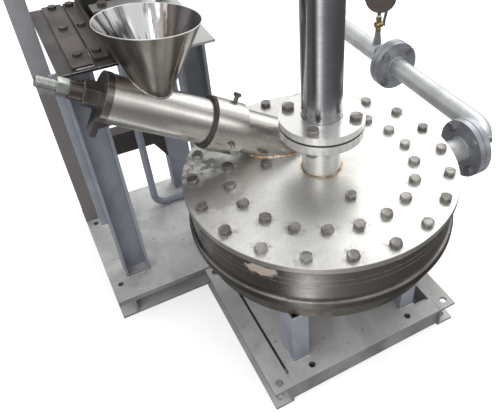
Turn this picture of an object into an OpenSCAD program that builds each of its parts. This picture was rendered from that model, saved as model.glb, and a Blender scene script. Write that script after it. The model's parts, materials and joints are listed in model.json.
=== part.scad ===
// Flat spiral jet mill with a flanged discharge pipe, an inclined venturi
// feed injector with hopper, a compressed-air line with gauge and cock, and
// the welded channel frames it stands on.
// Origin: centre of the mill base's anchor holes, on the floor. +X runs along
// the front edge of the mill base, +Y to the back, +Z up. Millimetres.

/* [Mill base] */
// Length of the mill base along X
base_x = 514; // [480:1:560]
// Depth of the mill base along Y
base_y = 424; // [400:1:430]
// Height of the base channels
base_h = 65; // [60:1:80]
// Flange width of the base channels
base_b = 46; // [42:1:50]
// Thickness of the base plate
plate_t = 8; // [6:1:12]
// Anchor hole spacing along X
anchor_x = 472; // [460:1:480]
// Anchor hole spacing along Y
anchor_y = 380; // [370:1:384]
// Diameter of the anchor holes
anchor_d = 18; // [14:1:20]

/* [Grinding chamber] */
// Diameter of the cover plate and the bottom flange
cover_d = 640; // [630:1:660]
// Thickness of the cover plate
cover_t = 17; // [14:1:18]
// Outside diameter of the body ring
ring_d = 624; // [620:1:628]
// Outside diameter of the drum under the chamber
drum_d = 594; // [580:1:600]
// Height of the square-cut legs under the drum
leg_h = 165; // [150:1:180]
// Pitch circle of the outer cover bolts
pcd_outer = 590; // [586:1:594]
// Pitch circle of the inner cover bolts
pcd_inner = 435; // [430:1:440]
// Number of bolts on each cover circle
n_bolts = 20; // [20:1:20]
// Number of jet nozzles in the grinding ring
n_jets = 10; // [10:1:10]

/* [Discharge] */
// Outside diameter of the discharge tube
out_d = 88.9; // [88.9:0.1:88.9]
// Wall of the discharge tube
out_wall = 4; // [3:0.5:5]
// Outside diameter of the discharge flanges
out_flange_d = 190.5; // [185:0.5:200]
// Bolt circle of the discharge flanges
out_pcd = 152.4; // [150:0.1:156]
// Height of the discharge pipe's top face above the cover
out_top = 558; // [500:1:600]

/* [Feed injector] */
// Inclination of the injector
inj_tilt = 30; // [28:1:32]
// Heading of the injector seen from above
inj_turn = 174; // [172:1:176]
// Outside diameter of the injector tube
inj_d = 101.6; // [101.6:0.1:101.6]
// Rim diameter of the hopper
hop_d = 206; // [200:1:212]
// Distance from the injector's axis to the hopper's rim
hop_h = 193; // [185:1:200]

/* [Air line] */
// Outside diameter of the air pipe
air_d = 60.3; // [60.3:0.1:60.3]
// Outside diameter of the air flanges
air_flange_d = 152.4; // [150:0.1:155]
// Bolt circle of the air flanges
air_pcd = 120.7; // [118:0.1:122]
// Diameter of the pressure gauge
gauge_d = 100; // [90:1:106]

/* [Stand] */
// Height of the table's top face
table_z = 671; // [650:1:680]
// Thickness of the table's top
table_t = 6; // [5:1:10]
// Height of the rear post
post_z = 820; // [760:1:860]

/* [Hidden] */
$fn = 96;

steel = "#8d8f90";   // aluminium-painted steel
dull = "#77797a";
inox = "#c9c8c3";    // satin stainless
dark = "#4a4543";

// mill axis and the levels of its stack
mx = 25;
my = 72;
z_leg = base_h;                 // legs stand on the base plate
z_drum = z_leg + leg_h;         // 230
drum_h = 57;
z_fl = z_drum + drum_h;         // 287
fl_t = 19;
z_ring = z_fl + fl_t;           // 306
ring_h = 85;
gask = 2;
z_cov = z_ring + ring_h + gask; // 393
zc = z_cov + cover_t;           // 410, cover's top face
ch_r_in = 200;                  // grinding ring
ch_r_out = 232;
r_jet = 4;

module mill() translate([mx, my, 0]) children();
module bolt_angles(n, r, a0 = 0, skip = -1)
  for (k = [0:n - 1]) if (k != skip)
    rotate([0, 0, a0 + k * 360 / n]) translate([r, 0, 0]) children();

// hexagon, af across flats
module hex(af, h) cylinder(r = af / sqrt(3), h = h, $fn = 6);
// hexagon-head bolt: head up from z = 0, shank down
module hex_bolt(d, len, af, k) {
  hex(af, k);
  translate([0, 0, -len]) cylinder(r = d / 2, h = len + 1, $fn = 32);
}

// rolled channel along +X: back at y = 0, flanges to +y, height in z
module channel_prof(h, b, tw, tf) {
  difference() {
    square([b, h]);
    translate([tw, tf]) square([b, h - 2 * tf]);
  }
}
// channel lying along Y, back towards +x when side = -1
module ch_y(len, h, b, open_neg) {
  translate([0, len, 0]) rotate([90, 0, 0]) linear_extrude(height = len)
    translate([open_neg ? b : 0, 0]) mirror([open_neg ? 1 : 0, 0])
      channel_prof(h, b, 5.5, 7);
}
// channel lying along X, web facing -y or open towards -y
module ch_x(len, h, b, open_neg) {
  rotate([90, 0, 90]) linear_extrude(height = len)
    translate([open_neg ? b : 0, 0]) mirror([open_neg ? 1 : 0, 0])
      channel_prof(h, b, 5.5, 7);
}

// ---- mill base ------------------------------------------------------------
module base_side_channels() color(steel) {
  for (s = [-1, 1]) difference() {
    translate([s < 0 ? -base_x / 2 : base_x / 2 - base_b, -base_y / 2, 0])
      ch_y(base_y, base_h, base_b, s < 0);
    for (t = [-1, 1]) translate([s * anchor_x / 2, t * anchor_y / 2, -1])
      cylinder(r = anchor_d / 2, h = base_h + 2, $fn = 48);
  }
}

module base_cross_channels() color(steel) difference() {
  for (s = [-1, 1])
    translate([-base_x / 2 + base_b, s < 0 ? -base_y / 2 + 7 : base_y / 2 - 7 - base_b, 0])
      ch_x(base_x - 2 * base_b, base_h - plate_t, base_b, s > 0);
  for (x = [-148, 126]) translate([x, -185, 40]) cylinder(r = 8, h = 40, $fn = 48);
}

// plate between the side channels, with a stepped cut-out on the right
module base_plate() color(steel) {
  x0 = -base_x / 2 + base_b;
  x1 = base_x / 2 - base_b;
  difference() {
    translate([x0, -base_y / 2, base_h - plate_t]) cube([x1 - x0, base_y, plate_t]);
    // slit along the left channel
    translate([x0 - 1, -base_y / 2 + 34, base_h - plate_t - 1])
      cube([7, base_y - 68, plate_t + 2]);
    // cut-out that steps round the right front leg
    translate([0, 0, base_h - plate_t - 1]) linear_extrude(height = plate_t + 2)
      polygon([[105, -121], [116, -121], [116, -96], [164, -96], [164, -168],
        [205, -168], [205, 83], [105, 83]]);
    for (x = [-148, 126]) translate([x, -185, 0])
      cylinder(r = 8, h = base_h + 2, $fn = 48);
  }
}

module mill_legs() color(dull)
  for (x = [-162, 140], y = [-130, 152]) translate([x, y, z_leg])
    linear_extrude(height = leg_h) difference() {
      translate([-20, -30]) square([40, 60]);
      translate([-16, -26]) square([32, 52]);
    }

// ---- grinding chamber -------------------------------------------------------
module base_drum() color(dull) mill() difference() {
  translate([0, 0, z_drum]) cylinder(r = drum_d / 2, h = drum_h, $fn = 160);
  translate([0, 0, z_drum + 10]) cylinder(r = drum_d / 2 - 8, h = drum_h, $fn = 160);
}

// bottom flange with a rounded rim
module bottom_flange() color(dull) mill() difference() {
  rotate_extrude($fn = 160) union() {
    translate([0, z_fl]) square([cover_d / 2 - 7, fl_t]);
    translate([0, z_fl]) square([cover_d / 2, fl_t - 7]);
    translate([cover_d / 2 - 7, z_fl + fl_t - 7]) circle(r = 7, $fn = 48);
  }
  bolt_angles(n_bolts, pcd_outer / 2) translate([0, 0, z_fl - 1])
    cylinder(r = 8.05, h = fl_t + 2, $fn = 32);
}

module body_ring() color(dull) mill() difference() {
  translate([0, 0, z_ring]) cylinder(r = ring_d / 2, h = ring_h, $fn = 160);
  translate([0, 0, z_ring - 1]) cylinder(r = 276, h = ring_h + 2, $fn = 160);
  for (z = [350, 364]) translate([0, 0, z]) rotate_extrude($fn = 160)
    translate([ring_d / 2 - 0.8, 0]) square([3, 1.2]);
  bolt_angles(n_bolts, pcd_outer / 2) translate([0, 0, z_ring - 1])
    cylinder(r = 8.75, h = ring_h + 2, $fn = 32);
  // air inlet
  translate([200, -58, 353]) rotate([0, 90, 0]) cylinder(r = 22.5, h = 160, $fn = 64);
}

// tangential jets between the bolts of the grinding ring
module jet_axes() for (k = [0:n_jets - 1]) rotate([0, 0, k * 360 / n_jets])
  translate([216, 0, 334]) rotate([0, 0, 52]) rotate([0, 90, 0]) children();
module grinding_ring() color(inox) mill() difference() {
  translate([0, 0, z_ring]) cylinder(r = ch_r_out, h = ring_h, $fn = 160);
  translate([0, 0, z_ring - 1]) cylinder(r = ch_r_in, h = ring_h + 2, $fn = 160);
  jet_axes() translate([0, 0, -60]) cylinder(r = r_jet, h = 120, $fn = 32);
  jet_axes() cylinder(r = 8.05, h = 60, $fn = 32);
  bolt_angles(n_bolts, pcd_inner / 2, 9, 7) translate([0, 0, z_ring + 41])
    cylinder(r = 8.05, h = ring_h, $fn = 32);
}
module jet_nozzles() color("#b8b4aa") mill()
  jet_axes() difference() {
    cylinder(r = 8, h = 20, $fn = 32);
    translate([0, 0, -1]) cylinder(r = 2.5, h = 22, $fn = 32);
  }

module bottom_liner() color(inox) mill()
  translate([0, 0, z_ring]) cylinder(r = 198, h = 12, $fn = 160);

module top_liner() color(inox) mill() difference() {
  translate([0, 0, z_cov - 12]) cylinder(r = 198, h = 12, $fn = 160);
  translate([0, 0, z_cov - 13]) cylinder(r = 52.2, h = 14, $fn = 96);
  for (a = [-90, 30, 150]) rotate([0, 0, a]) translate([128, 0, z_cov - 13])
    cylinder(r = 8.05, h = 14, $fn = 32);
  translate([-mx, -my, 0]) inj_local() translate([0, 0, -160]) cylinder(r = inj_d / 2 - 4, h = 200, $fn = 96);
}

// tube that keeps the vortex off the outlet
module outlet_collar() color(inox) mill() difference() {
  translate([0, 0, z_cov - 46]) cylinder(r = 52, h = 46, $fn = 96);
  translate([0, 0, z_cov - 47]) cylinder(r = out_d / 2 - out_wall, h = 48, $fn = 96);
}

module cover_gasket() color("#26231f") mill() translate([0, 0, z_cov - gask]) {
  difference() {
    cylinder(r = ring_d / 2 - 1.5, h = gask, $fn = 160);
    translate([0, 0, -1]) cylinder(r = 276, h = gask + 2, $fn = 160);
    bolt_angles(n_bolts, pcd_outer / 2) translate([0, 0, -1])
      cylinder(r = 8.75, h = gask + 2, $fn = 32);
  }
  difference() {
    cylinder(r = ch_r_out, h = gask, $fn = 160);
    translate([0, 0, -1]) cylinder(r = ch_r_in, h = gask + 2, $fn = 160);
    bolt_angles(n_bolts, pcd_inner / 2, 9, 7) translate([0, 0, -1])
      cylinder(r = 8.75, h = gask + 2, $fn = 32);
  }
}

module cover_plate() color(inox) mill() difference() {
  rotate_extrude($fn = 160) polygon([[out_d / 2 - out_wall, z_cov],
    [cover_d / 2 - 1, z_cov], [cover_d / 2, z_cov + 1], [cover_d / 2, zc - 1],
    [cover_d / 2 - 1, zc], [out_d / 2 - out_wall, zc]]);
  bolt_angles(n_bolts, pcd_outer / 2) translate([0, 0, z_cov - 1])
    cylinder(r = 8.75, h = cover_t + 2, $fn = 32);
  bolt_angles(n_bolts, pcd_inner / 2, 9, 7) translate([0, 0, z_cov - 1])
    cylinder(r = 8.75, h = cover_t + 2, $fn = 32);
  for (a = [-90, 30, 150]) rotate([0, 0, a]) translate([128, 0, z_cov - 1])
    cylinder(r = 8.75, h = cover_t + 2, $fn = 32);
  translate([-mx, -my, 0]) inj_local() translate([0, 0, -160]) cylinder(r = inj_d / 2 - 4, h = 300, $fn = 96);
}

module cover_bolts_long() color("#9a958c") mill()
  bolt_angles(n_bolts, pcd_outer / 2) translate([0, 0, zc])
    rotate([0, 0, 15]) hex_bolt(16, zc - z_fl - 1, 24, 11);
module cover_bolts_short() color("#9a958c") mill() {
  bolt_angles(n_bolts, pcd_inner / 2, 9, 7) translate([0, 0, zc])
    rotate([0, 0, 20]) hex_bolt(16, zc - z_ring - 42, 24, 11);
  for (a = [-90, 30, 150]) rotate([0, 0, a]) translate([128, 0, zc])
    rotate([0, 0, 5]) hex_bolt(16, zc - z_cov + 11, 24, 11);
}

// ---- discharge --------------------------------------------------------------
z_o1 = zc + 100;      // lower flange
z_o2 = z_o1 + 24;     // upper flange
z_o3 = zc + out_top;  // top face of the pipe
module tube(r, w, h) difference() {
  cylinder(r = r, h = h, $fn = 96);
  translate([0, 0, -1]) cylinder(r = r - w, h = h + 2, $fn = 96);
}
module flange(d, bore, t, pcd, hole) difference() {
  cylinder(r = d / 2, h = t, $fn = 128);
  translate([0, 0, -1]) cylinder(r = bore, h = t + 2, $fn = 96);
  bolt_angles(4, pcd / 2, 45) translate([0, 0, -1]) cylinder(r = hole, h = t + 2, $fn = 32);
}
module outlet_stub() color(inox) mill() union() {
  translate([0, 0, zc]) tube(out_d / 2, out_wall, 100 + 22);
  translate([0, 0, z_o1]) flange(out_flange_d, out_d / 2 - 1, 22, out_pcd, 9);
}
module outlet_gasket() color("#2a2725") mill() translate([0, 0, z_o1 + 22])
  flange(out_flange_d - 3, out_d / 2 - out_wall, 2, out_pcd, 9);
module discharge_pipe() color(inox) mill() union() {
  translate([0, 0, z_o2]) tube(out_d / 2, out_wall, z_o3 - z_o2);
  translate([0, 0, z_o2]) flange(out_flange_d, out_d / 2 - 1, 18, out_pcd, 9);
  translate([0, 0, z_o3 - 18]) flange(out_flange_d, out_d / 2 - 1, 18, out_pcd, 9);
}
module outlet_bolts() color("#8d8378") mill()
  bolt_angles(4, out_pcd / 2, 45) translate([0, 0, z_o2 + 18])
    rotate([0, 0, 10]) hex_bolt(16, 60, 26, 11);

// ---- air line ---------------------------------------------------------------
air_y = my - 58;   // inlet axis
air_z = 353;
air_x = 517;       // supply line axis
xf1 = 406;         // inlet flange pair, along X
yf1 = 449;         // middle flange pair, along Y
y_end = 884;       // supply end
af_t = 16;
el_r = 77;         // bend radius of the elbow
r_joint = 8.5;     // bolt holes of the two bolted joints
module along_x(x, y, z) translate([x, y, z]) rotate([0, 90, 0]) children();
module along_y(x, y, z) translate([x, y, z]) rotate([-90, 0, 0]) children();
module inlet_nozzle() color("#8f949b") difference() {
  union() {
    along_x(mx + 290, air_y, air_z) cylinder(r = air_d / 2, h = xf1 - mx - 290 + 4, $fn = 64);
    along_x(xf1, air_y, air_z) cylinder(r = air_flange_d / 2, h = af_t, $fn = 128);
  }
  along_x(mx + 240, air_y, air_z) cylinder(r = 26.2, h = 300, $fn = 64);
  along_x(xf1 - 1, air_y, air_z) bolt_angles(4, air_pcd / 2, 45)
    cylinder(r = r_joint, h = af_t + 2, $fn = 32);
  translate([mx, my, 0]) translate([0, 0, air_z - 60]) cylinder(r = ring_d / 2, h = 120, $fn = 160);
}
module air_gaskets() color("#2a2725") {
  along_x(xf1 + af_t, air_y, air_z) flange(air_flange_d - 3, 26.2, 2, air_pcd, r_joint);
  along_y(air_x, yf1 + af_t, air_z) flange(air_flange_d - 3, 26.2, 2, air_pcd, r_joint);
}
xe = xf1 + 2 * af_t + 2;   // elbow's inlet face, 440
ye = air_y + el_r;         // elbow's outlet face, 91
module air_pipe() color("#a3a7a8") union() {
  along_x(xf1 + af_t + 2, air_y, air_z) flange(air_flange_d, 26.2, af_t, air_pcd, r_joint);
  translate([xe, ye, air_z]) rotate([0, 0, -90]) rotate_extrude(angle = 90, $fn = 96)
    translate([el_r, 0]) difference() {
      circle(r = air_d / 2, $fn = 64);
      circle(r = 26.2, $fn = 64);
    }
  along_y(air_x, ye, air_z) tube(air_d / 2, air_d / 2 - 26.2, yf1 - ye);
  along_y(air_x, yf1, air_z) flange(air_flange_d, 26.2, af_t, air_pcd, r_joint);
}
module supply_pipe() color("#a3a7a8") difference() {
  union() {
    along_y(air_x, yf1 + af_t + 2, air_z) flange(air_flange_d, 26.2, af_t, air_pcd, r_joint);
    along_y(air_x, yf1 + 2 * af_t + 2, air_z)
      tube(air_d / 2, air_d / 2 - 26.2, y_end - yf1 - 3 * af_t - 2);
    along_y(air_x, y_end - af_t, air_z) flange(air_flange_d, 26.2, af_t, air_pcd, 9);
  }
  translate([air_x, ga_y, air_z]) cylinder(r = 5, h = 40, $fn = 32);
}
module air_bolts() color("#8b8780") {
  along_x(xf1, air_y, air_z) bolt_angles(4, air_pcd / 2, 45)
    mirror([0, 0, 1]) hex_bolt(16, 48, 24, 7);
  along_y(air_x, yf1, air_z) bolt_angles(4, air_pcd / 2, 45)
    mirror([0, 0, 1]) hex_bolt(16, 48, 24, 7);
}
// nuts of the discharge flange and of both air flange pairs
module flange_nuts() color("#8b8780") {
  mill() bolt_angles(4, out_pcd / 2, 45) translate([0, 0, z_o1 - 13]) nut16();
  along_x(xf1 + 2 * af_t + 2, air_y, air_z) bolt_angles(4, air_pcd / 2, 45) nut16();
  along_y(air_x, yf1 + 2 * af_t + 2, air_z) bolt_angles(4, air_pcd / 2, 45) nut16();
}
module nut16() difference() {
  hex(24, 13);
  translate([0, 0, -1]) cylinder(r = 8.05, h = 15, $fn = 32);
}

// ---- gauge and cock -----------------------------------------------------------
ga_y = 559;
z_nip = air_z + 28;       // nipple
z_cock = 448;             // lever axis
z_gau = 540;              // gauge centre
gau_turn = -30;
module at_gauge() translate([air_x, ga_y, 0]) children();
module gauge_nipple() color("#9aa0a4") at_gauge() difference() {
  translate([0, 0, z_nip]) cylinder(r1 = 14, r2 = 8.5, h = 425 - z_nip, $fn = 48);
  translate([0, 0, z_nip - 1]) cylinder(r = 4, h = 90, $fn = 32);
  along_y(0, -60, air_z) cylinder(r = air_d / 2, h = 120, $fn = 64);
}
module cock_body() color("#b08d3c") at_gauge() difference() {
  union() {
    translate([0, 0, 425]) hex(17, 12);
    translate([0, 0, 437]) cylinder(r = 6.5, h = 24, $fn = 48);
    translate([0, 0, 461]) hex(17, 14);
    along_x(-11, 0, z_cock) cylinder(r = 10, h = 23, $fn = 48);
  }
  translate([0, 0, 424]) cylinder(r = 4, h = 60, $fn = 32);
  along_x(-8.3, 0, z_cock) cylinder(r = 6.05, h = 40, $fn = 48);
}
// plug, stem and bent handle in one piece
module cock_lever() color("#8f9399") at_gauge() difference() {
  union() {
    along_x(-8, 0, z_cock) cylinder(r = 6, h = 20, $fn = 48);
    along_x(11, 0, z_cock) cylinder(r = 4, h = 13, $fn = 48);
    translate([0, 5.5, z_cock]) rotate([90, 0, 0]) linear_extrude(height = 11)
      polygon([[20, -8], [23, -8], [23, 10], [30, 43], [27, 43.6], [20, 10.6]]);
  }
  translate([0, 0, z_cock - 7]) cylinder(r = 3.5, h = 14, $fn = 32);
}
module at_dial() translate([air_x, ga_y, z_gau]) rotate([0, 0, gau_turn])
  rotate([-90, 0, 0]) children();
module gauge_case() color("#3d3430") {
  union() {
    at_dial() translate([0, 0, -16]) difference() {
      union() {
        cylinder(r = gauge_d / 2 - 2, h = 32, $fn = 128);
        translate([0, 0, 26]) cylinder(r = gauge_d / 2, h = 6, $fn = 128);
      }
      translate([0, 0, 4]) cylinder(r = gauge_d / 2 - 6, h = 40, $fn = 128);
    }
    at_gauge() translate([0, 0, 475]) cylinder(r = 6, h = z_gau - 475 - gauge_d / 2 + 5, $fn = 48);
  }
}
module gauge_dial() color("#e9e7e0") at_dial() difference() {
  union() {
    translate([0, 0, -12]) cylinder(r = gauge_d / 2 - 6.3, h = 12, $fn = 128);
    cylinder(r = 2.5, h = 4, $fn = 32);
  }
  translate([0, 0, -1]) cylinder(r = 1.05, h = 12, $fn = 32);
}
module gauge_needle() color("#1d1b1a") at_dial() union() {
  translate([0, 0, 4.5]) cylinder(r = 5, h = 2, $fn = 48);
  rotate([0, 0, -45]) translate([-1.2, -12, 4.5]) cube([2.4, 44, 1.2]);
  cylinder(r = 1, h = 6, $fn = 32);
}
module gauge_glass() color([0.8, 0.85, 0.85, 0.35]) at_dial()
  translate([0, 0, 10]) cylinder(r = gauge_d / 2 - 6.3, h = 3, $fn = 128);

// ---- feed injector --------------------------------------------------------------
// axis: +z of inj_local runs up the injector from the point where it meets
// the cover's top face
inj_x = 0.5;
inj_y = 193.5;
module inj_local() translate([inj_x, inj_y, zc]) rotate([0, 0, inj_turn])
  rotate([0, 90 - inj_tilt, 0]) children();
t_step = 144;  // where the sleeve begins
t_slv = 219;   // sleeve's mouth
t_cap = 438;   // end cap
r_slv = 60.8;
t_scr = 167;   // set screws
t_tip = 277;   // tip of the air nozzle
cap_t = 14;    // thickness of the end cap
t_lock = t_cap + cap_t + 59;   // outer face of the gland
t_end = 570;   // outer end of its stem
scr = [-16, 104, 224];
module feed_socket() color(inox) difference() {
  union() {
    inj_local() translate([0, 0, -120]) cylinder(r = inj_d / 2, h = t_step + 121, $fn = 96);
    inj_local() translate([0, 0, t_step]) cylinder(r = r_slv, h = t_slv - t_step, $fn = 96);
  }
  inj_local() translate([0, 0, -160]) cylinder(r = inj_d / 2 - 4, h = 160 + t_step + 10, $fn = 96);
  inj_local() translate([0, 0, t_step + 2]) cylinder(r = inj_d / 2 + 0.2, h = 100, $fn = 96);
  for (a = scr) inj_local() translate([0, 0, t_scr]) rotate([0, 0, inj_phi(a)])
    rotate([0, 90, 0]) translate([0, 0, 42]) cylinder(r = 5.05, h = 30, $fn = 32);
  translate([-400, -400, zc - 200]) cube([800, 1000, 200]);
}
// angle around the axis, measured from its upper side towards the front
function inj_phi(a) = 180 - a;
module seal_ring() color("#2b2624") inj_local() translate([0, 0, t_slv])
  difference() {
    cylinder(r = 59, h = 6, $fn = 96);
    translate([0, 0, -1]) cylinder(r = inj_d / 2 + 0.2, h = 10, $fn = 96);
  }
module set_screw(a) color("#8d8a84") inj_local() translate([0, 0, t_scr])
  rotate([0, 0, inj_phi(a)]) rotate([0, 90, 0]) {
    translate([0, 0, inj_d / 2 + 0.3]) cylinder(r = 5, h = 26, $fn = 32);
    translate([0, 0, inj_d / 2 + 22]) hex(17, 8);
  }
module set_screw_a() set_screw(scr[0]);
module set_screw_b() set_screw(scr[1]);
module set_screw_c() set_screw(scr[2]);

// hopper axis, leaning a little
t_hop = 329;
hop_o = [inj_x + t_hop * cos(inj_tilt) * cos(inj_turn),
         inj_y + t_hop * cos(inj_tilt) * sin(inj_turn),
         zc + t_hop * sin(inj_tilt)];
module hop_local() translate(hop_o) rotate([-3.2, 4.9, 0]) children();
// radius of the cone at height h over the injector's axis
function hop_r(h) = 10.1 + 0.482 * h;

module injector_body() color(inox) difference() {
  inj_local() translate([0, 0, t_step + 2]) difference() {
    cylinder(r = inj_d / 2, h = t_cap - t_step - 2, $fn = 96);
    translate([0, 0, -1]) cylinder(r = inj_d / 2 - 4, h = t_cap - t_step, $fn = 96);
  }
  hop_local() cylinder(r1 = hop_r(0) - 2.2, r2 = hop_r(120) - 2.2, h = 120, $fn = 96);
}
// the cone stands 20 above the injector's axis before it is trimmed to the tube
module feed_hopper() color("#a7a39b") difference() {
  hop_local() translate([0, 0, 20]) cylinder(r1 = hop_r(20), r2 = hop_r(hop_h), h = hop_h - 20, $fn = 128);
  hop_local() cylinder(r1 = hop_r(0) - 2.2, r2 = hop_r(hop_h + 20) - 2.2, h = hop_h + 20, $fn = 128);
  inj_local() cylinder(r = inj_d / 2, h = 500, $fn = 96);
}
module venturi_insert() color("#b5b2ab") inj_local() translate([0, 0, t_step + 2])
  difference() {
    cylinder(r = inj_d / 2 - 4.1, h = 125, $fn = 96);
    translate([0, 0, 45]) cylinder(r1 = 13, r2 = 44, h = 80.01, $fn = 96);
    translate([0, 0, -0.01]) cylinder(r1 = 30, r2 = 13, h = 45.02, $fn = 96);
  }
module end_cap() color(dark) inj_local() difference() {
  union() {
    translate([0, 0, t_cap]) cylinder(r = 52, h = cap_t, $fn = 96);
    translate([0, 0, t_cap - 14]) cylinder(r = inj_d / 2 - 4.1, h = 15, $fn = 96);
    translate([30, -17, t_cap]) cube([56, 34, cap_t]);
  }
  translate([0, 0, t_cap - 20]) cylinder(r = 11.05, h = 60, $fn = 48);
}
module gland_nut() color(dark) inj_local() difference() {
  union() {
    translate([0, 0, t_cap + cap_t]) rotate([0, 0, 12]) hex(48, 34);
    translate([0, 0, t_cap + cap_t + 33]) cylinder(r = 20, h = 26, $fn = 64);
  }
  translate([0, 0, t_cap + 10]) cylinder(r = 11.05, h = 80, $fn = 48);
}
// hollow stem with the air nozzle at its inner end
module nozzle_stem() color("#a9adab") inj_local() difference() {
  union() {
    translate([0, 0, t_tip + 28]) cylinder(r = 11, h = t_end - t_tip - 28, $fn = 48);
    translate([0, 0, t_tip]) cylinder(r1 = 6, r2 = 11, h = 28, $fn = 48);
  }
  translate([0, 0, t_tip - 1]) cylinder(r = 3, h = 40, $fn = 32);
  translate([0, 0, t_tip + 30]) cylinder(r = 6, h = t_end - t_tip, $fn = 32);
}
module lock_nut() color("#b6b8b2") inj_local() difference() {
  translate([0, 0, t_lock + 0.3]) rotate([0, 0, 20]) hex(32, 22);
  translate([0, 0, t_lock - 10]) cylinder(r = 11.05, h = 60, $fn = 48);
}
module cap_bracket() color(dark) difference() {
  union() {
    translate([-412, 236, 563]) cube([30, 51, 10]);
    translate([-402, 279, 545]) cube([20, 8, 22]);
  }
  inj_local() translate([20, -17, t_cap - 1]) cube([66, 34, cap_t + 1]);
}

// ---- stand ------------------------------------------------------------------------
sx0 = -490;
sx1 = -120;
sy0 = 216;
sy1 = 632;
module stand_channels() color(steel) {
  difference() {
    union() {
      translate([sx0, sy0, 0]) ch_y(sy1 - sy0, base_h - plate_t, 42, true);
      translate([sx1 - 42, sy0, 0]) ch_y(sy1 - sy0, base_h - plate_t, 42, false);
    }
    stand_holes();
  }
  translate([sx0 + 42, sy0, 0]) ch_x(sx1 - sx0 - 84, base_h - plate_t, 42, true);
  translate([sx0 + 42, sy1 - 42, 0]) ch_x(sx1 - sx0 - 84, base_h - plate_t, 42, false);
}
module stand_holes() for (x = [-467, -132], y = [275, 540])
  translate([x, y, -1]) cylinder(r = 7, h = 80, $fn = 48);
module stand_plate() color(steel) difference() {
  translate([sx0, sy0, base_h - plate_t]) cube([sx1 - sx0, sy1 - sy0, plate_t]);
  stand_holes();
}
// upright channel: 65 across in X, flanges to the front or to the back
module upright(x, y, z0, h, front) translate([x, y, z0])
  linear_extrude(height = h) difference() {
    square([65, 42]);
    translate([7, front ? -1 : 5.5]) square([51, 37.5]);
  }
module stand_legs() color("#7f858d") {
  upright(-447, 287, base_h, table_z - table_t - base_h, true);
  upright(-185, 361, base_h, table_z - table_t - base_h, true);
  upright(-212, 572, base_h, table_z - table_t - base_h, false);
}
// flat bar welded along the left side of the front left leg
module leg_strip() color("#7f858d")
  translate([-463, 307, 252]) cube([16, 6, table_z - table_t - 252]);
module stand_rear_post() color("#7b8087")
  translate([sx0, 556, base_h]) linear_extrude(height = post_z - base_h)
    channel_prof(65, 42, 5.5, 7);
module stand_beam() color("#3a3836")
  translate([sx0 + 5.5, 572, 252]) ch_x(272.5, 65, 42, false);
module stand_gussets() color("#55575a")
  for (s = [0, 1]) translate([s == 0 ? -212 : -448, 572, 252]) mirror([s, 0, 0])
    rotate([90, 0, 0]) mirror([0, 0, 1]) linear_extrude(height = 7)
      polygon([[0, 0], [-34, 0], [0, -58]]);
module stand_table() color(dark) difference() {
  translate([-448, 283, table_z - table_t]) cube([328, 347, table_t]);
  // round notch behind the hopper, and room for the injector's cap
  inj_local() translate([0, 0, t_cap - 30]) cylinder(r = 54, h = 60, $fn = 96);
  translate([-276, 229, table_z - 30]) cylinder(r = 72, h = 40, $fn = 96);
}
// pad and angle that carry the feeder
module feeder_bed() color(dark) {
  translate([-418, 294, table_z]) cube([43, 330, 6]);
  translate([-370, 312, table_z]) cube([34, 312, 6]);
  translate([-342, 312, table_z + 5]) cube([6, 312, 13]);
}
module feeder_bolts() color("#8b8780") {
  for (x = [-396, -357], y = [345, 485, 610])
    translate([x, y, table_z + 6]) hex(17, 5);
}
module feeder_casing() color("#33302f") difference() {
  translate([-336, 560, table_z]) cube([206, 110, 190]);
  translate([-328, 568, table_z + 40]) cube([190, 94, 160]);
}
module hopper_strap() color("#a9aeb0") difference() {
  translate([-346, 328, 757]) cube([150, 40, 6]);
  translate([-322, 354, 700]) cylinder(r = 5, h = 80, $fn = 32);
  hop_local() cylinder(r1 = hop_r(0), r2 = hop_r(220), h = 220, $fn = 128);
}
module strap_post() color(dark) {
  translate([-334, 362, table_z]) cube([40, 6, 86]);
  translate([-334, 342, 749]) cube([24, 22, 8]);
  translate([-322, 354, 755]) cylinder(r = 4.9, h = 9, $fn = 32);
  translate([-322, 354, 763]) hex(17, 7);
}
// bent round bar between the table and the stand plate
module brace_rod() color("#8c9196") {
  translate([-289, 522, 111]) cylinder(r = 10, h = table_z - table_t - 111, $fn = 48);
  translate([-253, 522, 111]) rotate([-90, 0, 0]) rotate([0, 0, 90])
    rotate_extrude(angle = 90, $fn = 64) translate([36, 0]) circle(r = 10, $fn = 48);
  along_x(-253, 522, 75) cylinder(r = 10, h = 120, $fn = 48);
}

base_side_channels();
base_cross_channels();
base_plate();
mill_legs();
base_drum();
bottom_flange();
body_ring();
grinding_ring();
jet_nozzles();
bottom_liner();
top_liner();
outlet_collar();
cover_gasket();
cover_plate();
cover_bolts_long();
cover_bolts_short();
outlet_stub();
outlet_gasket();
discharge_pipe();
outlet_bolts();
flange_nuts();
feed_socket();
seal_ring();
set_screw_a();
set_screw_b();
set_screw_c();
injector_body();
venturi_insert();
feed_hopper();
end_cap();
gland_nut();
nozzle_stem();
lock_nut();
inlet_nozzle();
air_gaskets();
air_pipe();
supply_pipe();
air_bolts();
gauge_nipple();
cock_body();
cock_lever();
gauge_case();
gauge_dial();
gauge_needle();
gauge_glass();
stand_channels();
stand_plate();
stand_legs();
leg_strip();
stand_rear_post();
stand_beam();
stand_gussets();
stand_table();
feeder_bed();
feeder_bolts();
feeder_casing();
hopper_strap();
strap_post();
brace_rod();
cap_bracket();
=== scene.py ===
import json
import math
import random

import bmesh
import bpy
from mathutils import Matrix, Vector, noise

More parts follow.
